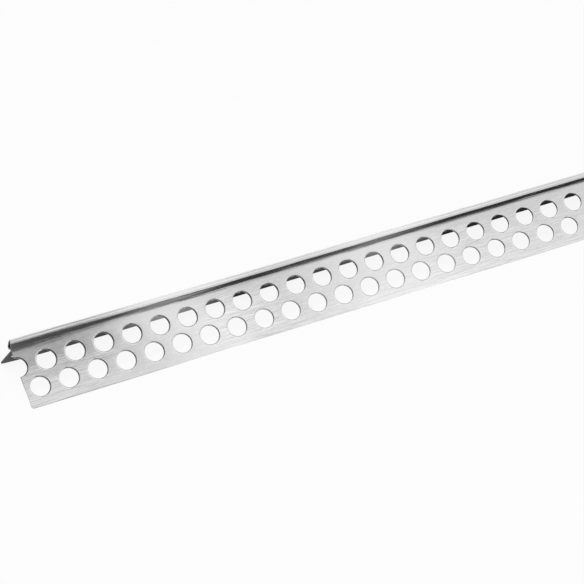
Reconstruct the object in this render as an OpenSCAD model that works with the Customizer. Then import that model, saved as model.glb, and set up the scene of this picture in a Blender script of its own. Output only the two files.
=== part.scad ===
// Edge protection profile: one length of roll-formed aluminium sheet with two
// perforated legs and a hollow bead along the corner between them.
// It stands as a tent on the free edges of its legs, with the bead on top.
// X runs along the length, Z points up, and the origin is the middle of its footprint.

/* [Length] */
// Length of the bar as it is sold
bar_length = 1000; // [200:10:3000]
// Radius at the outer corners of the cut ends
corner_r = 1; // [0.3:0.1:2]

/* [Legs] */
// Thickness of the sheet
sheet = 0.5; // [0.35:0.05:0.6]
// Width of the long leg, from its free edge to the crown of the bead
long_leg = 23.4; // [22.5:0.1:40]
// Depth of the short leg, from the long leg's outer face to its free edge
short_leg = 18; // [14:0.5:30]
// Angle between the two legs
leg_angle = 93.5; // [88:0.5:100]

/* [Bead] */
// Width of the bead across its widest place
bead_w = 4.4; // [4:0.1:5]
// Height of the bead, from the middle of the tight fold at its foot to the crown
bead_h = 3.2; // [2.8:0.1:4]
// Angle that the bead's front flank makes with the long leg
flank_angle = 48; // [40:1:52]
// Radius of the crown, at the middle of the sheet
crown_r = 2.4; // [2.3:0.1:5]
// Radius of the two shoulders beside the crown, at the middle of the sheet
shoulder_r = 0.85; // [0.6:0.05:1]
// Radius of the sweep from the long leg into the bead, at the middle of the sheet
neck_r = 4.4; // [3:0.1:6]
// Radius of the tight fold into the short leg, at the middle of the sheet
fold_r = 0.35; // [0.35:0.05:0.6]
// Gap left between the two layers of sheet where they meet at the neck
neck_gap = 0.05; // [0.02:0.01:0.3]

/* [Perforation] */
// Diameter of every hole
hole_d = 6.5; // [4:0.1:7]
// Distance between neighbouring holes of one row
pitch = 10; // [8:0.5:20]
// Distance between the two rows on the long leg
row_gap = 8; // [6:0.1:9]
// Distance from the long leg's free edge to its first row
long_edge = 6.3; // [4:0.1:7]
// Distance from the short leg's free edge to its row
short_edge = 8.8; // [5:0.1:9]

/* [Hidden] */
$fn = 48;
// Largest turn between neighbouring points of a bend
bend_step = 10;
// How far a cutter reaches past the face that it cuts
past = 1;

// The section is drawn with x up the long leg and y out of its outer face.
// The sheet is followed along its middle, from one free edge to the other.
mid = -sheet / 2;
leg_lean = leg_angle - 90;
// The crown and the two shoulders are symmetric about the long leg.
spread = bead_w / 2 - sheet / 2;
crown_x = long_leg - sheet / 2 - crown_r;
crown_turn = asin((spread - shoulder_r) / (crown_r - shoulder_r));
shoulder_x = crown_x + (crown_r - shoulder_r) * cos(crown_turn);
shoulder_y = spread - shoulder_r;
// The front flank is a short straight between the front shoulder and the long leg's sweep.
flank_x = shoulder_x - shoulder_r * sin(flank_angle);
flank_y = shoulder_y + shoulder_r * cos(flank_angle);
// A sweep too wide to fit under the shoulder is made as wide as fits.
sweep_r = min(neck_r, flank_y / (1 - cos(flank_angle)));
flank_rise = flank_y - sweep_r * (1 - cos(flank_angle));
neck_x = flank_x - flank_rise / tan(flank_angle) - sweep_r * sin(flank_angle);
// The tight fold lies against the back of that sweep.
fold_x = long_leg - bead_h;
fold_reach = sweep_r + sheet + neck_gap + fold_r;
fold_y = sweep_r - sqrt(pow(fold_reach, 2) - pow(fold_x - neck_x, 2));
// The back flank touches the back shoulder with one end and the fold with the other.
shoulder_to_fold = [shoulder_x - fold_x, shoulder_y + fold_y];
back_angle = atan2(shoulder_to_fold[1], shoulder_to_fold[0])
    + asin((shoulder_r + fold_r) / norm(shoulder_to_fold));
// The short leg runs from the fold to its free edge.
out_of_short = [cos(leg_lean), sin(leg_lean)];
down_short = [sin(leg_lean), -cos(leg_lean)];
short_start = [fold_x, mid + fold_y] - fold_r * out_of_short;
short_end = short_start + (short_leg + short_start[1]) / cos(leg_lean) * down_short;

// Each bend: its centre, its radius at the middle of the sheet, and the
// directions from the centre in which it starts and ends
bends = [
    [[neck_x, mid + sweep_r], sweep_r, -90, flank_angle - 90],
    [[shoulder_x, mid + shoulder_y], shoulder_r, flank_angle + 90, crown_turn],
    [[crown_x, mid], crown_r, crown_turn, -crown_turn],
    [[shoulder_x, mid - shoulder_y], shoulder_r, -crown_turn, -back_angle - 90],
    [[fold_x, mid + fold_y], fold_r, 90 - back_angle, 180 + leg_lean],
];

// The inner corners of both free edges touch the floor.
long_foot = [0, -sheet];
short_foot = short_end - sheet / 2 * out_of_short;
short_tip = short_end + sheet / 2 * out_of_short;
stand_angle = atan2(long_foot[1] - short_foot[1], short_foot[0] - long_foot[0]);
foot_drop = long_foot[0] * sin(stand_angle) + long_foot[1] * cos(stand_angle);
foot_width = short_tip[0] * cos(stand_angle) - short_tip[1] * sin(stand_angle);

// Points of one bend on one side of the sheet: 1 is the outer side of both legs, -1 the inner
function bend_side(bend, side) =
    let (sweep = bend[3] - bend[2],
         radius = bend[1] - side * sign(sweep) * sheet / 2,
         steps = ceil(abs(sweep) / bend_step))
    [for (i = [0 : steps])
        let (angle = bend[2] + sweep * i / steps)
        bend[0] + radius * [cos(angle), sin(angle)]];

// Points of one whole side of the sheet, between its free edges
function sheet_side(side) = [for (bend = bends) each bend_side(bend, side)];

function reversed(points) = [for (i = [len(points) - 1 : -1 : 0]) points[i]];

// The section of the sheet, as one closed outline
module section() {
    polygon(concat([[0, 0]], sheet_side(1), [short_tip],
                   [short_foot], reversed(sheet_side(-1)), [long_foot]));
}

// One row of round holes through a leg that lies flat, with its free edge on the X axis
module hole_row(count, first_x, y) {
    for (i = [0 : count - 1]) {
        translate([first_x + i * pitch, y, -sheet - past]) cylinder(d = hole_d, h = sheet + 2 * past);
    }
}

// What is cut away to round the two corners of a leg's free edge
module corner_trims() {
    for (side = [0, 1]) {
        mirror([side, 0, 0]) translate([bar_length / 2 - corner_r, corner_r, -sheet - past])
            linear_extrude(sheet + 2 * past) difference() {
                translate([0, -corner_r - past]) square(corner_r + past);
                circle(r = corner_r);
            }
    }
}

// Holes and trims of the long leg
module long_leg_cuts() {
    count = floor(bar_length / pitch);
    start = -count * pitch / 2;
    hole_row(count, start + pitch / 2, long_edge);
    hole_row(count + 1, start, long_edge + row_gap);
    corner_trims();
}

// Holes and trims of the short leg, whose row is in step with the long leg's first row
module short_leg_cuts() {
    count = floor(bar_length / pitch);
    translate([0, short_end[0], short_end[1]]) rotate([leg_angle, 0, 0]) {
        hole_row(count, -count * pitch / 2 + pitch / 2, short_edge);
        corner_trims();
    }
}

// The profile: the section along the bar, less its holes, stood on its free edges
module profile() {
    color("silver") translate([0, -foot_width / 2, -foot_drop]) rotate([stand_angle, 0, 0])
        difference() {
            translate([-bar_length / 2, 0, 0]) rotate([90, 0, 90]) linear_extrude(bar_length) section();
            long_leg_cuts();
            short_leg_cuts();
        }
}

profile();
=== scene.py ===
# %% [markdown]
# # A perforated corner profile in brushed aluminium
# The real thing is one strip of thin aluminium sheet. It is punched flat, with rows of round
# holes, and then a line of rollers folds it into two legs with a hollow bead between them.
# This lesson follows the same order as the factory: punch the legs, bend the bead, weld the
# mesh, give it the sheet's thickness, and then finish the metal and light it.
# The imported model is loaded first. It is the fixed frame that every piece has to fit.

# %% Load the frame
import math

import bmesh
import bpy
from mathutils import Matrix, Vector


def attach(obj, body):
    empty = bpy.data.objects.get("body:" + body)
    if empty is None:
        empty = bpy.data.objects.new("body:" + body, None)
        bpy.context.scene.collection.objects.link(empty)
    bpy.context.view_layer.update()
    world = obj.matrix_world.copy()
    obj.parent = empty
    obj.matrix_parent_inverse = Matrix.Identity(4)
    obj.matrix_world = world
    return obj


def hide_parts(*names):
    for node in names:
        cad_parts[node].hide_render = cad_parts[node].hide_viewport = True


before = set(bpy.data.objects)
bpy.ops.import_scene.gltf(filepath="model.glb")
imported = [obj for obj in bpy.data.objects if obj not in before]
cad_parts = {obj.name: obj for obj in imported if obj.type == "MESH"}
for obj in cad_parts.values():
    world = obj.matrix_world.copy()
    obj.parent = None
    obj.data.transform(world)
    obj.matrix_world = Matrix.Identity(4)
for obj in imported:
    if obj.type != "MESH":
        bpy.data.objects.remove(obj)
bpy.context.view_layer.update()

# %% [markdown]
# ## Camera
# The holes of the near leg are a ruler: they are a known distance apart, so where they fall in
# the picture says where the camera stood. It stood to the left of the bar's end, about
# three quarters of a metre away, and looked down over the near leg with a long lens.
# The camera is placed from a point that it aims at, two angles, a slight roll and a distance,
# because those are the numbers that a photographer would think in.

# %% Place the camera
MM = 0.001
CAMERA_AIM = Vector((-402.2, -4.6, 8.3)) * MM
CAMERA_AZIMUTH = math.radians(26.03)
CAMERA_ELEVATION = math.radians(33.75)
CAMERA_ROLL = math.radians(-1.52)
CAMERA_DISTANCE = 765.5 * MM
CAMERA_LENS = 140.6
NEAREST_SEEN = 10 * MM


def place_camera():
    camera = bpy.data.objects.new("camera", bpy.data.cameras.new("camera"))
    bpy.context.scene.collection.objects.link(camera)
    camera.data.lens = CAMERA_LENS
    camera.data.clip_start = NEAREST_SEEN
    turn = Matrix.Rotation(-CAMERA_AZIMUTH, 4, "Z")
    tilt = Matrix.Rotation(math.pi / 2 - CAMERA_ELEVATION, 4, "X")
    roll = Matrix.Rotation(CAMERA_ROLL, 4, "Z")
    back = Matrix.Translation((0, 0, CAMERA_DISTANCE))
    camera.matrix_world = Matrix.Translation(CAMERA_AIM) @ turn @ tilt @ roll @ back
    bpy.context.scene.camera = camera
    return camera


camera = place_camera()
print("camera at", [round(c, 3) for c in camera.matrix_world.translation])

# %% [markdown]
# ## The section, as the rollers leave it
# Everything along the bar follows from one line across it: the middle of the sheet, from the
# free edge of the long leg, through the bead, to the free edge of the short leg. The long leg
# is straight. Then come five bends: a wide sweep out of the leg, a tight shoulder, the domed
# crown, the second shoulder, and a very tight fold from which the short leg hangs.
# The fold lies against the back of the sweep, where the two layers of sheet almost touch.
# The section is written in its own two directions: first the way up the long leg, and second
# the way out of that leg's outer face.

# %% Sizes of the sheet
LENGTH = 1000 * MM
SHEET = 0.5 * MM
LONG_LEG = 23.4 * MM
SHORT_LEG = 18 * MM
LEG_ANGLE = math.radians(93.5)
CORNER_R = 1 * MM

BEAD_W = 4.4 * MM
BEAD_H = 3.2 * MM
FLANK_ANGLE = math.radians(48)
CROWN_R = 2.4 * MM
SHOULDER_R = 0.85 * MM
NECK_R = 4.4 * MM
FOLD_R = 0.35 * MM
NECK_GAP = 0.05 * MM

MIDDLE = -SHEET / 2
LEG_LEAN = LEG_ANGLE - math.pi / 2

# %% Centres of the bends
spread = BEAD_W / 2 - SHEET / 2
crown_x = LONG_LEG - SHEET / 2 - CROWN_R
crown_turn = math.asin((spread - SHOULDER_R) / (CROWN_R - SHOULDER_R))
shoulder_x = crown_x + (CROWN_R - SHOULDER_R) * math.cos(crown_turn)
shoulder_y = spread - SHOULDER_R
flank_x = shoulder_x - SHOULDER_R * math.sin(FLANK_ANGLE)
flank_y = shoulder_y + SHOULDER_R * math.cos(FLANK_ANGLE)
flank_rise = flank_y - NECK_R * (1 - math.cos(FLANK_ANGLE))
neck_x = flank_x - flank_rise / math.tan(FLANK_ANGLE) - NECK_R * math.sin(FLANK_ANGLE)

fold_x = LONG_LEG - BEAD_H
fold_y = NECK_R - math.sqrt((NECK_R + SHEET + NECK_GAP + FOLD_R) ** 2 - (fold_x - neck_x) ** 2)
shoulder_to_fold = Vector((shoulder_x - fold_x, shoulder_y + fold_y))
back_angle = (math.atan2(shoulder_to_fold.y, shoulder_to_fold.x)
              + math.asin((SHOULDER_R + FOLD_R) / shoulder_to_fold.length))

short_start_x = fold_x - FOLD_R * math.cos(LEG_LEAN)
short_start_y = MIDDLE + fold_y - FOLD_R * math.sin(LEG_LEAN)
short_length = (SHORT_LEG + short_start_y) / math.cos(LEG_LEAN)
short_end_x = short_start_x + short_length * math.sin(LEG_LEAN)
short_end_y = short_start_y - short_length * math.cos(LEG_LEAN)
print(f"sweep starts {neck_x / MM:.3f} mm up the long leg,",
      f"back flank at {math.degrees(back_angle):.2f} degrees,",
      f"short leg {short_length / MM:.3f} mm of flat sheet")

# %% [markdown]
# ## How the bar stands
# The bar rests as a tent on the inner corners of its two free edges. The line through those
# two corners is the floor, so turning the section until that line is level stands the bar up.
# The turn is worked out from the section, and not read off, so it stays right if a leg changes.

# %% Stand the section on its feet
foot_x = short_end_x - SHEET / 2 * math.cos(LEG_LEAN)
foot_y = short_end_y - SHEET / 2 * math.sin(LEG_LEAN)
tip_x = short_end_x + SHEET / 2 * math.cos(LEG_LEAN)
tip_y = short_end_y + SHEET / 2 * math.sin(LEG_LEAN)
stand_angle = math.atan2(-SHEET - foot_y, foot_x)
foot_width = tip_x * math.cos(stand_angle) - tip_y * math.sin(stand_angle)
foot_drop = -SHEET * math.cos(stand_angle)
STAND = (Matrix.Translation((0, -foot_width / 2, -foot_drop))
         @ Matrix.Rotation(stand_angle, 4, "X"))
print(f"turned {math.degrees(stand_angle):.2f} degrees, footprint {foot_width / MM:.2f} mm wide")

# %% [markdown]
# ## Punching the legs
# Each leg is a flat strip with round holes at an even pitch. One hole with the rectangle of
# sheet round it is a cell, and a row of holes is that cell repeated. A circle and a rectangle
# are drawn as loose edges, and triangle_fill makes the sheet between them, hole included.
# Then a spin through no angle at all, with a step along the bar, repeats the cell: in bmesh
# that is the shortest way to write an array. The two rows of the long leg are half a pitch
# out of step, so the second row starts half a cell further left, and its ends are cut off.
# A Boolean cuts a row of holes out of a plain strip in two seconds, but a third of the triangles
# that it leaves are thin slivers.

# %% Sizes of the perforation
HOLE_D = 6.5 * MM
PITCH = 10 * MM
ROW_GAP = 8 * MM
LONG_EDGE = 6.3 * MM
SHORT_EDGE = 8.8 * MM
HOLE_SIDES = 32
HOLES = round(LENGTH / PITCH)
WELD = 0.001 * MM


# %% Punch one row
def punched_row(height, low, high, first, count):
    """One row of holes at a height on a leg, in a strip of sheet from low to high."""
    bm = bmesh.new()
    rim = bmesh.ops.create_circle(bm, radius=HOLE_D / 2, segments=HOLE_SIDES)["verts"]
    bmesh.ops.translate(bm, verts=rim, vec=(first, height, 0))
    border = bmesh.ops.create_grid(bm, x_segments=2, y_segments=1, size=0.5)["verts"]
    bmesh.ops.scale(bm, verts=border, vec=(PITCH, high - low, 1))
    bmesh.ops.translate(bm, verts=border, vec=(first, (low + high) / 2, 0))
    inside = [edge for edge in bm.edges if len(edge.link_faces) == 2]
    bmesh.ops.delete(bm, geom=inside, context="EDGES_FACES")
    bmesh.ops.triangle_fill(bm, edges=bm.edges[:], normal=(0, 0, 1), use_beauty=True)
    cell = bm.verts[:] + bm.edges[:] + bm.faces[:]
    bmesh.ops.spin(bm, geom=cell, angle=0, steps=count - 1, dvec=(PITCH, 0, 0),
                   axis=(0, 0, 1), use_duplicate=True)
    return bm


# %% [markdown]
# ## Welding
# Each row of holes is a mesh of its own, and so will the bead be. Meshes that touch are poured
# into one, and remove_doubles welds the vertices that share a place. After that there is no
# seam, and the normals are made to agree, so that the sheet can be thickened as one.

# %% Weld meshes that touch
def joined(meshes):
    whole = bmesh.new()
    for part in meshes:
        holder = bpy.data.meshes.new("holder")
        part.to_mesh(holder)
        whole.from_mesh(holder)
        bpy.data.meshes.remove(holder)
        part.free()
    bmesh.ops.remove_doubles(whole, verts=whole.verts[:], dist=WELD)
    bmesh.ops.recalc_face_normals(whole, faces=whole.faces[:])
    return whole


# %% [markdown]
# ## Trimming the ends
# The bar is cut to length straight through a hole of the second row, which leaves half a hole
# in each end. bisect_plane is the saw: it cuts along a plane and throws away one side. The
# same saw rounds the two outer corners of each leg, with a few cuts along the curve.

# %% Saw the ends and corners of a leg
CORNER_CUTS = 5
SAW_SNAP = WELD / 10


def saw(bm, point, outwards):
    """Cuts along a plane and drops what lies on its outer side."""
    everything = bm.verts[:] + bm.edges[:] + bm.faces[:]
    bmesh.ops.bisect_plane(bm, geom=everything, dist=SAW_SNAP, plane_co=point,
                           plane_no=outwards, clear_outer=True)


def trim_ends(bm):
    for side in (-1, 1):
        saw(bm, Vector((side * LENGTH / 2, 0, 0)), Vector((side, 0, 0)))
        centre = Vector((side * (LENGTH / 2 - CORNER_R), CORNER_R, 0))
        for cut in range(CORNER_CUTS):
            angle = math.radians(90) * (cut + 0.5) / CORNER_CUTS
            outwards = Vector((side * math.cos(angle), -math.sin(angle), 0))
            saw(bm, centre + outwards * CORNER_R, outwards)


def leg(rows, place):
    """A flat leg from its rows of holes, moved to its place in the section."""
    bm = joined(rows)
    trim_ends(bm)
    bmesh.ops.transform(bm, matrix=place, verts=bm.verts[:])
    return bm


# %% Both legs
first_hole = -HOLES * PITCH / 2 + PITCH / 2
between_rows = LONG_EDGE + ROW_GAP / 2
long_leg = leg(
    [punched_row(height=LONG_EDGE, low=0, high=between_rows, first=first_hole, count=HOLES),
     punched_row(height=LONG_EDGE + ROW_GAP, low=between_rows, high=neck_x,
                 first=first_hole - PITCH / 2, count=HOLES + 1)],
    Matrix.Translation((0, 0, MIDDLE)))
short_leg = leg(
    [punched_row(height=SHORT_EDGE, low=0, high=short_length, first=first_hole, count=HOLES)],
    Matrix.Translation((0, short_end_x, short_end_y)) @ Matrix.Rotation(LEG_ANGLE, 4, "X"))
print("long leg", len(long_leg.faces), "faces, short leg", len(short_leg.faces), "faces")

# %% [markdown]
# ## Rolling the bead
# The bead is drawn with the same gestures as the rollers use. It starts as one vertex at the
# top of the long leg. A spin carries that vertex round the centre of each bend, a straight
# run carries it up or down a flank, and the trail that it leaves is the section. One more
# spin, again through no angle, drags the whole trail along the bar.
# Its steps are half a pitch long, so its edges meet the corners of the punched cells.

# %% Bend one vertex through the section
def bend(bm, vert, centre, degrees, steps):
    """Carries a vertex round a bend and returns the vertex that it ends at."""
    made = bmesh.ops.spin(bm, geom=[vert], cent=(vert.co.x, *centre), axis=(1, 0, 0),
                          angle=math.radians(degrees), steps=steps)
    return [part for part in made["geom_last"] if isinstance(part, bmesh.types.BMVert)][0]


def run(bm, vert, point):
    """Carries a vertex straight to a point of the section."""
    made = bmesh.ops.extrude_vert_indiv(bm, verts=[vert])["verts"][0]
    made.co = (vert.co.x, *point)
    return made


# %% Roll the bead
SWEEP_STEPS, SHOULDER_STEPS, CROWN_STEPS, FOLD_STEPS = 10, 11, 12, 12


def rolled_bead():
    bm = bmesh.new()
    flank, back = math.degrees(FLANK_ANGLE), math.degrees(back_angle)
    crown = math.degrees(crown_turn)
    vert = bm.verts.new((-LENGTH / 2, neck_x, MIDDLE))
    vert = bend(bm, vert, (neck_x, MIDDLE + NECK_R), flank, SWEEP_STEPS)
    vert = run(bm, vert, (flank_x, MIDDLE + flank_y))
    vert = bend(bm, vert, (shoulder_x, MIDDLE + shoulder_y), crown - flank - 90, SHOULDER_STEPS)
    vert = bend(bm, vert, (crown_x, MIDDLE), -2 * crown, CROWN_STEPS)
    vert = bend(bm, vert, (shoulder_x, MIDDLE - shoulder_y), crown - back - 90, SHOULDER_STEPS)
    fold_start = Vector((math.sin(back_angle), math.cos(back_angle))) * FOLD_R
    vert = run(bm, vert, (fold_x + fold_start.x, MIDDLE + fold_y + fold_start.y))
    bend(bm, vert, (fold_x, MIDDLE + fold_y), 90 + back + math.degrees(LEG_LEAN), FOLD_STEPS)
    section = bm.verts[:] + bm.edges[:]
    bmesh.ops.spin(bm, geom=section, angle=0, steps=2 * HOLES, dvec=(PITCH / 2, 0, 0), axis=(0, 0, 1))
    return bm


bead = rolled_bead()
print("bead", len(bead.faces), "faces")

# %% [markdown]
# ## One sheet
# The legs and the bead are still three meshes that touch. The same weld makes them one sheet,
# which is open only at its holes, its two free edges and its two cut ends.

# %% Weld the legs to the bead
sheet = joined([long_leg, bead, short_leg])
open_edges = sum(edge.is_boundary for edge in sheet.edges)
print("sheet", len(sheet.faces), "faces,", open_edges, "open edges, all of them at holes and edges")

# %% [markdown]
# ## Ends that have sprung open
# Rolled sheet holds some spring, and a cut sets it free. Near both ends of the bar the bead and
# the start of the short leg stand almost half a millimetre further up the long leg, and the
# short leg's foot half as much. That fades out over the width of a hand.
# The short leg isn't quite where the drawing has it either. Its foot stands a little further in
# all along the bar, and flares out again in the last two centimetres before each end.
# The cut isn't quite square: the shear dragged the crown of the bead back a little.
# A lattice could push the ends about, but a rule for every vertex keeps the amounts in figures.

# %% Spring the ends
SPRING = 0.44 * MM
SPRING_REACH = 78 * MM
FOOT_SPRING = 0.5
TOE_IN = 0.3 * MM
FLARE = 1.0 * MM
FLARE_REACH = 22 * MM
DRAG = 0.6 * MM
DRAG_FROM, DRAG_TO = 21.8 * MM, 23.2 * MM


def share(value):
    """The value, kept between zero and one."""
    return min(max(value, 0), 1)


def spring_ends(bm):
    level = Vector((0, math.cos(stand_angle), -math.sin(stand_angle)))
    for vert in bm.verts:
        along, up, out = vert.co
        from_end = LENGTH / 2 - abs(along)
        freed = 0.5 + 0.5 * math.cos(math.pi * share(from_end / SPRING_REACH))
        down_short_leg = share((short_start_y - out) / short_length)
        raised = (1 - FOOT_SPRING * down_short_leg) * share((up - neck_x) / (fold_x - neck_x))
        vert.co.y += SPRING * freed * raised
        flared = share(1 - from_end / FLARE_REACH) ** 2
        vert.co += (FLARE * flared - TOE_IN) * down_short_leg * level
        if from_end < WELD:
            vert.co.x -= math.copysign(DRAG * share((up - DRAG_FROM) / (DRAG_TO - DRAG_FROM)), along)


spring_ends(sheet)
bmesh.ops.transform(sheet, matrix=STAND, verts=sheet.verts[:])
for face in sheet.faces:
    face.smooth = True
print("highest place of the sheet's middle", round(max(vert.co.z for vert in sheet.verts) / MM, 2), "mm")

# %% [markdown]
# ## Thickness and cut edges
# So far the sheet has no thickness. Solidify gives it half a millimetre, half to each side of
# the line that was bent, and Bevel softens every edge that a punch or a shear left. Those
# edges are less than a tenth of a millimetre wide, yet they catch the light round each hole.
# Weighted Normal keeps the big flat faces flat beside those narrow ones.
# The walls that Solidify adds at holes and edges take the second material, the cut metal.
# Both faces of the sheet could be drawn by hand, but then every change would be made twice.

# %% Make the profile
EDGE_ROUNDING = 0.05 * MM
ROUNDING_STEPS = 2
SHARP_ANGLE = math.radians(50)


def make_piece(bm, name):
    mesh = bpy.data.meshes.new(name)
    bm.to_mesh(mesh)
    bm.free()
    piece = bpy.data.objects.new(name, mesh)
    bpy.context.scene.collection.objects.link(piece)
    return piece


def finish_sheet(piece):
    thick = piece.modifiers.new("sheet thickness", "SOLIDIFY")
    thick.thickness = SHEET
    thick.offset = 0
    thick.use_even_offset = True
    thick.material_offset_rim = 1
    soften = piece.modifiers.new("soft cut edges", "BEVEL")
    soften.width = EDGE_ROUNDING
    soften.segments = ROUNDING_STEPS
    soften.limit_method = "ANGLE"
    soften.angle_limit = SHARP_ANGLE
    soften.use_clamp_overlap = False
    flat = piece.modifiers.new("flat faces stay flat", "WEIGHTED_NORMAL")
    flat.keep_sharp = True


profile = make_piece(sheet, "aluminium_profile")
finish_sheet(profile)
print("profile", len(profile.data.polygons), "faces, modifiers", [step.name for step in profile.modifiers])

# %% [markdown]
# ## Writing materials as sums
# A shader is a sum of numbers and pictures. This small class wraps one socket, so that
# `0.3 + 0.1 * grain` makes the Math nodes that it says. Every other node comes from one
# method, which takes the kind of node, its settings and what goes into its sockets.

# %% A socket that can be added and multiplied
class Flow:
    """One output socket of a shader, with arithmetic."""

    tree = None

    def __init__(self, socket):
        self.socket = socket

    @classmethod
    def node(cls, kind, settings=None, inputs=None, output=0):
        made = cls.tree.nodes.new(kind)
        for name, value in (settings or {}).items():
            setattr(made, name, value)
        for name, value in (inputs or {}).items():
            if isinstance(value, cls):
                value.feed(made, name)
            else:
                made.inputs[name].default_value = value
        return cls(made.outputs[output])

    @classmethod
    def math(cls, operation, *numbers):
        return cls.node("ShaderNodeMath", {"operation": operation}, dict(enumerate(numbers)))

    def feed(self, node, name):
        self.tree.links.new(self.socket, node.inputs[name])

    def __add__(self, other):
        return self.math("ADD", self, other)

    def __radd__(self, other):
        return self.math("ADD", other, self)

    def __sub__(self, other):
        return self.math("SUBTRACT", self, other)

    def __rsub__(self, other):
        return self.math("SUBTRACT", other, self)

    def __mul__(self, other):
        return self.math("MULTIPLY", self, other)

    def __rmul__(self, other):
        return self.math("MULTIPLY", other, self)


# %% Helpers for every material
def new_material(name):
    """A material whose nodes are the next to be written, and its main shader."""
    material = bpy.data.materials.new(name)
    material.use_nodes = True
    Flow.tree = material.node_tree
    return material, Flow.tree.nodes["Principled BSDF"]


def place_parts():
    """The Object coordinates, one Flow for each axis."""
    place = Flow.node("ShaderNodeTexCoord", output="Object")
    split = Flow.node("ShaderNodeSeparateXYZ", None, {"Vector": place}).socket.node.outputs
    return [Flow(split[axis]) for axis in "XYZ"]


def soft_step(value, low, high, rise=1.0):
    """Zero below the low value, then an eased climb to the rise at the high value."""
    return Flow.node("ShaderNodeMapRange", {"interpolation_type": "SMOOTHSTEP"},
                     {"Value": value, "From Min": low, "From Max": high, "To Max": rise})


# %% [markdown]
# ## Brushed aluminium
# Rolled aluminium strip carries fine lines along its length, from the rolls and from brushing.
# Each line is a long thin stretch of noise: the Object coordinates are squeezed along the bar
# and left fine across it. Hair lines too fine to see one by one spread every reflection across
# the bar, and broader lines show as streaks. Both are slopes across the bar. Short specks have
# no slope. All three together make the metal a little lighter and duller in one place, and a
# little darker and glossier in the next.

# %% Sizes of the brushing
HAIR_LENGTH, HAIR_WIDTH, HAIR_SLOPE = 12 * MM, 0.12 * MM, 0.45
LINE_LENGTH, LINE_WIDTH, LINE_SLOPE = 220 * MM, 0.45 * MM, 0.04
SPECK_LENGTH, SPECK_WIDTH = 1.8 * MM, 0.6 * MM
HAIR_SHARE, LINE_SHARE, SPECK_SHARE = 0.2, 0.14, 0.66
NOISE_ROUGHNESS = 0.6


def stretched_noise(length, width, detail):
    place = Flow.node("ShaderNodeTexCoord", output="Object")
    scale = (1 / length, 1 / width, 1 / width)
    squeezed = Flow.node("ShaderNodeMapping", {"vector_type": "POINT"},
                         {"Vector": place, "Scale": scale})
    return Flow.node("ShaderNodeTexNoise", None,
                     {"Vector": squeezed, "Scale": 1.0, "Detail": detail, "Roughness": NOISE_ROUGHNESS})


# %% [markdown]
# ## A sheet that isn't quite flat
# Thin sheet never is, and bare metal shows it. The long leg has a slow wave along the bar, which
# dies out towards the stiff bead. It curls out towards its free edge by less than a millimetre,
# and near the sprung ends its top leans forward. The punch drew the rim of every hole down a
# little. All of this shows only in what the metal mirrors, so it is a height for a bump, in the
# bar's own lengths. The rims also get painted shade: their colour is made a shade darker.

# %% Shape of the sheet's surface
WAVE_LENGTH, WAVE_WIDTH, WAVE_HEIGHT = 45 * MM, 30 * MM, 0.9 * MM
CURL_FROM = 15 * MM
CURL = 0.007 / MM
LEAN_FROM = 13.5 * MM
LEAN_TO = 20 * MM
LEAN_RISE = 0.36 * MM
PRESSED_WIDTH = 0.45 * MM
PRESSED_LOW, PRESSED_HIGH = 0.14 * MM, 0.17 * MM
# Painted shade: the share by which the colour is darkened at the rims of the holes.
PAINTED_RIM_SHADE = 0.38


def up_long_leg(across, height):
    """How far up the long leg a place is, from the free edge."""
    return ((across + foot_width / 2) * math.cos(stand_angle)
            + (height + foot_drop) * math.sin(stand_angle))


def pressed_rims(along, up_leg, row_height, first):
    """One at the rims of the holes of one row, fading to zero where the sheet is flat."""
    turn = (along - first) * (1 / PITCH)
    beside = PITCH * (turn - Flow.math("ROUND", turn))
    above = up_leg - row_height
    radius = Flow.math("SQRT", beside * beside + above * above)
    return soft_step(HOLE_D / 2 + PRESSED_WIDTH - radius, 0.0, 2 * PRESSED_WIDTH, 2.0)


def sheet_shape():
    """The relief of the sheet, and its pressed rims, where the colour also gets painted shade."""
    along, across, height = place_parts()
    up_leg = up_long_leg(across, height)
    curl = 0.5 * CURL * (up_leg - CURL_FROM) * (up_leg - CURL_FROM)
    freed = soft_step(Flow.math("ABSOLUTE", along), LENGTH / 2 - SPRING_REACH, LENGTH / 2)
    lean = soft_step(up_leg, LEAN_FROM, LEAN_TO, LEAN_RISE)
    low_rims = pressed_rims(along, up_leg, LONG_EDGE, first_hole)
    high_rims = pressed_rims(along, up_leg, LONG_EDGE + ROW_GAP, first_hole - PITCH / 2)
    loose = 1 - soft_step(up_leg, 0.0, neck_x)
    wave = WAVE_HEIGHT * loose * (stretched_noise(WAVE_LENGTH, WAVE_WIDTH, 0.0) - 0.5)
    relief = wave + curl + freed * lean - PRESSED_LOW * low_rims - PRESSED_HIGH * high_rims
    return relief, low_rims + high_rims


# %% [markdown]
# ## The finish itself
# A bump would have to guess the slope of lines that are finer than a pixel, and it guesses them
# along the bar as well. So the lines tilt the normal themselves, straight across the bar and
# never along it: that is what makes a reflection on brushed metal smear in one direction.
# The shader can smear by itself, as anisotropy, but normals can be baked for other programs.
# The metal where it was cut is duller and has no lines, so it is a material of its own.

# %% Mix the brushed finish
DARKEST, COLOUR_SPAN = 0.77, 0.21
GLOSSIEST, GLOSS_SPAN = 0.11, 0.12


def tilted_across(slope):
    """The surface's own normal, tilted by a slope across the bar."""
    normal = Flow.node("ShaderNodeNewGeometry", output="Normal")
    across = Flow.node("ShaderNodeVectorMath", {"operation": "CROSS_PRODUCT"}, {0: normal, 1: (1, 0, 0)})
    tilt = Flow.node("ShaderNodeVectorMath", {"operation": "SCALE"}, {0: across, "Scale": slope})
    tilted = Flow.node("ShaderNodeVectorMath", {"operation": "ADD"}, {0: normal, 1: tilt})
    return Flow.node("ShaderNodeVectorMath", {"operation": "NORMALIZE"}, {0: tilted})


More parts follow.
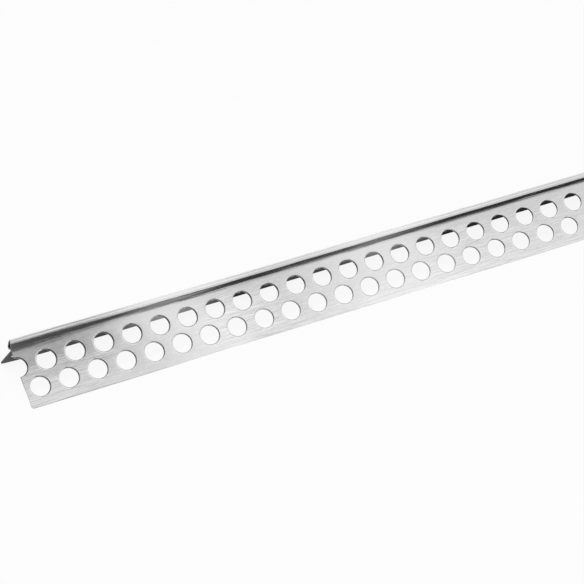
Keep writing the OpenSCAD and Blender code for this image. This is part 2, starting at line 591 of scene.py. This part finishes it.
def brushed_aluminium():
    material, shader = new_material("brushed aluminium")
    hair = stretched_noise(HAIR_LENGTH, HAIR_WIDTH, 1.0)
    lines = stretched_noise(LINE_LENGTH, LINE_WIDTH, 2.0)
    specks = stretched_noise(SPECK_LENGTH, SPECK_WIDTH, 1.0)
    brushing = HAIR_SHARE * hair + LINE_SHARE * lines + SPECK_SHARE * specks
    relief, rims = sheet_shape()
    # Painted shade: the colour is darkened at the pressed rims of the holes.
    colour = (DARKEST + COLOUR_SPAN * brushing) * (1 - PAINTED_RIM_SHADE * rims)
    colour.feed(shader, "Base Color")
    roughness = GLOSSIEST + GLOSS_SPAN * brushing
    roughness.feed(shader, "Roughness")
    shader.inputs["Metallic"].default_value = 1.0
    brushed = tilted_across(HAIR_SLOPE * (hair - 0.5) + LINE_SLOPE * (lines - 0.5))
    bump = Flow.node("ShaderNodeBump", None,
                     {"Height": relief, "Strength": 1.0, "Distance": 1.0, "Normal": brushed})
    bump.feed(shader, "Normal")
    return material


# %% The cut metal
CUT_COLOUR = (0.8, 0.8, 0.803, 1)
CUT_GRAIN = 0.3 * MM
CUT_GLOSSIEST, CUT_GLOSS_SPAN = 0.25, 0.2


def cut_edge():
    material, shader = new_material("cut aluminium edge")
    roughness = CUT_GLOSSIEST + CUT_GLOSS_SPAN * stretched_noise(CUT_GRAIN, CUT_GRAIN, 2.0)
    roughness.feed(shader, "Roughness")
    shader.inputs["Base Color"].default_value = CUT_COLOUR
    shader.inputs["Metallic"].default_value = 1.0
    return material


# %% Dress the profile
profile.data.materials.append(brushed_aluminium())
profile.data.materials.append(cut_edge())
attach(profile, "root")
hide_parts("profile")
print("materials", [material.name for material in profile.data.materials])

# %% [markdown]
# ## The studio
# Bare metal has hardly any colour of its own, it shows the room. So the studio is built as a
# photographer of metal builds one: a white table under a white room, a tent of cloth round the
# front of the bar, and black cards that draw dark lines along its bends.
# The table and the room are white to the eye, which is what camera and mirror rays see. The mix
# by Light Path does that without more light on the bar: every other ray meets a dimmer room and
# an ordinary pale table. One part in ten of that table is kept for the eye too, and carries the
# bar's soft shadow.

# %% White for the eye
FLOOR_SIZE = 30.0
ROOM_LIGHT = 0.6
TABLE_WHITE = 0.9
TABLE_COLOUR = (0.9, 0.9, 0.9, 1)
TABLE_ROUGHNESS = 0.8


def seen_rays():
    """One where a ray comes from the camera, a mirror or a glass, and zero elsewhere."""
    camera_ray = Flow.node("ShaderNodeLightPath", output="Is Camera Ray")
    mirror_ray = Flow.node("ShaderNodeLightPath", output="Is Glossy Ray")
    glass_ray = Flow.node("ShaderNodeLightPath", output="Is Transmission Ray")
    return camera_ray + mirror_ray + glass_ray


def white_light(kind, strength):
    return Flow.node(kind, None, {"Color": (1, 1, 1, 1), "Strength": strength})


def mixed(factor, first, second):
    return Flow.node("ShaderNodeMixShader", None, {0: factor, 1: first, 2: second})


# %% The room and the table
def make_world():
    world = bpy.data.worlds.new("white room")
    bpy.context.scene.world = world
    world.use_nodes = True
    Flow.tree = world.node_tree
    room = mixed(seen_rays(), white_light("ShaderNodeBackground", ROOM_LIGHT),
                 white_light("ShaderNodeBackground", 1.0))
    room.feed(Flow.tree.nodes["World Output"], "Surface")


def make_floor():
    bm = bmesh.new()
    bmesh.ops.create_grid(bm, x_segments=1, y_segments=1, size=FLOOR_SIZE / 2)
    floor = make_piece(bm, "floor")
    material, shader = new_material("white table")
    shader.inputs["Base Color"].default_value = TABLE_COLOUR
    shader.inputs["Roughness"].default_value = TABLE_ROUGHNESS
    table = mixed(TABLE_WHITE * seen_rays(), Flow(shader.outputs["BSDF"]),
                  white_light("ShaderNodeEmission", 1.0))
    table.feed(Flow.tree.nodes["Material Output"], "Surface")
    floor.data.materials.append(material)


make_world()
make_floor()
print("white table of", FLOOR_SIZE, "m, room light", ROOM_LIGHT)

# %% [markdown]
# ## Light that only the metal sees
# The cards and the tent are seen by mirror rays alone, so they throw no shadow and the picture
# stays white. Each glows by itself. On the table's card and on the tent the glow changes along
# the bar, which a colour ramp paints. A stop of it is a place along the bar, in millimetres from
# its middle, and three levels there, which ride in the red, green and blue of the ramp.
# A row of small lamps could do this too, but each lamp has one level, and a ramp blends them.

# %% Pieces for the mirror rays
def only_for_mirrors(piece):
    piece.visible_camera = False
    piece.visible_diffuse = False
    piece.visible_transmission = False
    piece.visible_shadow = False
    piece.visible_volume_scatter = False


def glowing(name, brightness):
    """A material that only glows. The brightness is a function, called when its nodes can be made."""
    material, shader = new_material(name)
    Flow.tree.nodes.remove(shader)
    glow = Flow.node("ShaderNodeEmission", None, {"Strength": brightness()})
    glow.feed(Flow.tree.nodes["Material Output"], "Surface")
    return material


def painted_along(along, stops):
    """Three levels painted along the bar, eased from stop to stop."""
    left, right = stops[0][0] * MM, stops[-1][0] * MM
    ramp = Flow.node("ShaderNodeValToRGB", None, {"Fac": (along - left) * (1 / (right - left))})
    paint = ramp.socket.node.color_ramp
    paint.interpolation = "EASE"
    for stop in stops[1:-1]:
        paint.elements.new((stop[0] * MM - left) / (right - left))
    for element, stop in zip(paint.elements, stops):
        element.color = (*stop[1:], 1)
    levels = Flow.node("ShaderNodeSeparateColor", None, {"Color": ramp}).socket.node.outputs
    return [Flow(levels[colour]) for colour in ("Red", "Green", "Blue")]


# %% [markdown]
# ## Two cards
# The card on the table is black. It is painted shade that only the metal mirrors, and it darkens
# the underside of the bead and the inside of the legs. Three things on it are painted light, and
# they are the three levels of its stops: patches of light that run right across it, a glow that
# grows towards the front and is dim at the left, and a strip of light under the long leg that
# ends partway along the bar. A thin line of light lies under the leg's free edge as well, because
# the cut sheet there would mirror black. Under the bar all but that line lies a few millimetres
# further left, where the inside of the legs mirrors it.
# The card at the far left is nearly black. It darkens the walls of the holes, which are seen
# from the left.

# %% Cards
TABLE_CARD = dict(corner=(-1500, -450, 0.05), width=(3000, 0, 0), height=(0, 510, 0))
TABLE_LIGHT = [(-505, 0.20, 0.10, 1.0), (-485, 0.07, 0.10, 1.0), (-456, 0.06, 0.10, 1.0),
               (-434, 0.28, 0.10, 1.0), (-408, 0.03, 0.10, 0.9), (-385, 0.05, 0.15, 0.9),
               (-370, 0.06, 0.55, 0.9), (-352, 0.20, 0.60, 0.9), (-338, 0.10, 0.60, 0.8),
               (-326, 0.02, 0.60, 0.0), (-280, 0.02, 0.60, 0.0)]
TABLE_SLANT = (-14 * MM, 4 * MM, 7 * MM)
GLOW_RISE = (20 * MM, 200 * MM)
FOOT_RISE = (-14 * MM, -13 * MM, 0.9)
FOOT_FALL = (-6 * MM, 2 * MM, 0.9)
LINE_RISE = (-14 * MM, -13.7 * MM, 1.2)
LINE_FALL = (-13 * MM, -12.4 * MM, 1.2)
LINE_FROM = (-470 * MM, -430 * MM)
LEFT_CARD = dict(corner=(-1100, -700, 0), width=(0, 1200, 0), height=(0, 0, 600))
LEFT_GLOW = 0.02


# Painted light and shade on the table card, which only the metal mirrors.
def table_brightness():
    along, across = place_parts()[:2]
    patch, glow, foot = painted_along(along + soft_step(across, *TABLE_SLANT), TABLE_LIGHT)
    foot_strip = soft_step(across, *FOOT_RISE) - soft_step(across, *FOOT_FALL)
    edge_line = soft_step(across, *LINE_RISE) - soft_step(across, *LINE_FALL)
    lit = patch + glow * soft_step(0 - across, *GLOW_RISE) + foot * foot_strip
    return lit + soft_step(along, *LINE_FROM) * edge_line


def make_card(name, corner, width, height, material):
    """A flat card from one corner and its two sides, in millimetres."""
    corner, width, height = (Vector(vector) * MM for vector in (corner, width, height))
    bm = bmesh.new()
    corners = (corner, corner + width, corner + width + height, corner + height)
    bm.faces.new([bm.verts.new(point) for point in corners])
    card = make_piece(bm, name)
    card.data.materials.append(material)
    only_for_mirrors(card)


make_card("table card", material=glowing("painted light and shade card", table_brightness), **TABLE_CARD)
make_card("left card", material=glowing("black card", lambda: LEFT_GLOW), **LEFT_CARD)
print("table card painted with", len(TABLE_LIGHT), "stops")

# %% [markdown]
# ## The cloth tent
# Over the bar hangs a tent of cloth, with lamps behind it. Its three levels are how bright the
# cloth is, how far down towards the table the light reaches in front, and how much darker the
# cloth gets further down in front and at the back. Between the lamps it is dimmer, and at the
# left end it is almost dark. The lamps don't hang straight over the bar, so each bright place
# bends a few centimetres sideways on its way over the cloth.
# A soft light along the top of the tent keeps the crown of the bead pale.

# %% Sizes of the tent
TENT_RADIUS = 450 * MM
TENT_HALF_LENGTH = 1500 * MM
TENT_FROM = math.radians(15)
TENT_TO = math.radians(180)
TENT_STEPS = 24
CLOTH_FADE = 240 * MM
CLOTH_TOP = 100 * MM
CLOTH_REACH = 360 * MM
LAMPS = [(-530, 0.02, 0.08, 0.0), (-445, 0.66, 0.26, 0.35), (-395, 0.66, 0.26, 0.28),
         (-345, 0.47, 0.06, 0.36), (-312, 1.00, 0.90, 0.0), (-288, 1.00, 0.95, 0.0),
         (-260, 0.57, 0.55, 0.0), (-222, 0.71, 0.60, 0.0), (-172, 0.98, 0.80, 0.0),
         (-130, 0.69, 0.65, 0.0), (-65, 0.68, 0.65, 0.0), (30, 0.84, 0.65, 0.0)]
LAMP_SLANT = (-195 * MM, -131 * MM, 35 * MM)
LAMP_BACK = (-110 * MM, -20 * MM, 28 * MM)
FRONT_DIM = (168 * MM, 235 * MM)
BACK_DIM = 0.6
TOP_GAIN = 0.24
TOP_RISE = (-190 * MM, -100 * MM)
TOP_FALL = (-60 * MM, 200 * MM)
BACK_LOW = 0.6
BACK_RISE = (150 * MM, 330 * MM, 0.4)


# %% Hang the tent
def cloth_brightness():
    along, across, height = place_parts()
    slant = soft_step(across, *LAMP_SLANT) - soft_step(across, *LAMP_BACK)
    level, reach, dim = painted_along(along - slant, LAMPS)
    front = soft_step(height - CLOTH_TOP + CLOTH_REACH * reach, 0.0, CLOTH_FADE)
    back = soft_step(across, 0.0, TENT_RADIUS) * (BACK_LOW + soft_step(height, *BACK_RISE))
    top = soft_step(across, *TOP_RISE) - soft_step(across, *TOP_FALL)
    kept = front + back - front * back
    dimmed = 1 - dim * (soft_step(0 - across, *FRONT_DIM) + soft_step(across, 0.0, TENT_RADIUS, BACK_DIM))
    return level * kept * dimmed + TOP_GAIN * top


def make_tent():
    bm = bmesh.new()
    start = Vector((-TENT_HALF_LENGTH, math.cos(TENT_FROM) * TENT_RADIUS, math.sin(TENT_FROM) * TENT_RADIUS))
    bmesh.ops.spin(bm, geom=[bm.verts.new(start)], cent=(start.x, 0, 0), axis=(1, 0, 0),
                   angle=TENT_TO - TENT_FROM, steps=TENT_STEPS)
    bmesh.ops.spin(bm, geom=bm.verts[:] + bm.edges[:], angle=0, steps=1,
                   dvec=(2 * TENT_HALF_LENGTH, 0, 0), axis=(0, 0, 1))
    tent = make_piece(bm, "cloth tent")
    tent.data.materials.append(glowing("lit cloth", cloth_brightness))
    only_for_mirrors(tent)
    return tent


tent = make_tent()
print("tent of", len(tent.data.polygons), "strips of cloth")

# %% [markdown]
# ## One soft lamp
# A wide lamp above gives the table a faint shadow to carry the bar. It is left out of the
# mirror rays, because the cloth already stands for it there.

# %% Lamp
LAMP_SIZE = 1.2
LAMP_PLACE = Vector((-0.9, -0.7, 1.6))
LAMP_POWER = 12.0


def make_lamp():
    light = bpy.data.lights.new("wide lamp", "AREA")
    light.shape = "SQUARE"
    light.size = LAMP_SIZE
    light.energy = LAMP_POWER
    lamp = bpy.data.objects.new("wide lamp", light)
    bpy.context.scene.collection.objects.link(lamp)
    lamp.location = LAMP_PLACE
    lamp.rotation_euler = (CAMERA_AIM - LAMP_PLACE).to_track_quat("-Z", "Y").to_euler()
    lamp.visible_glossy = False


make_lamp()
bpy.context.scene.view_settings.view_transform = "Standard"
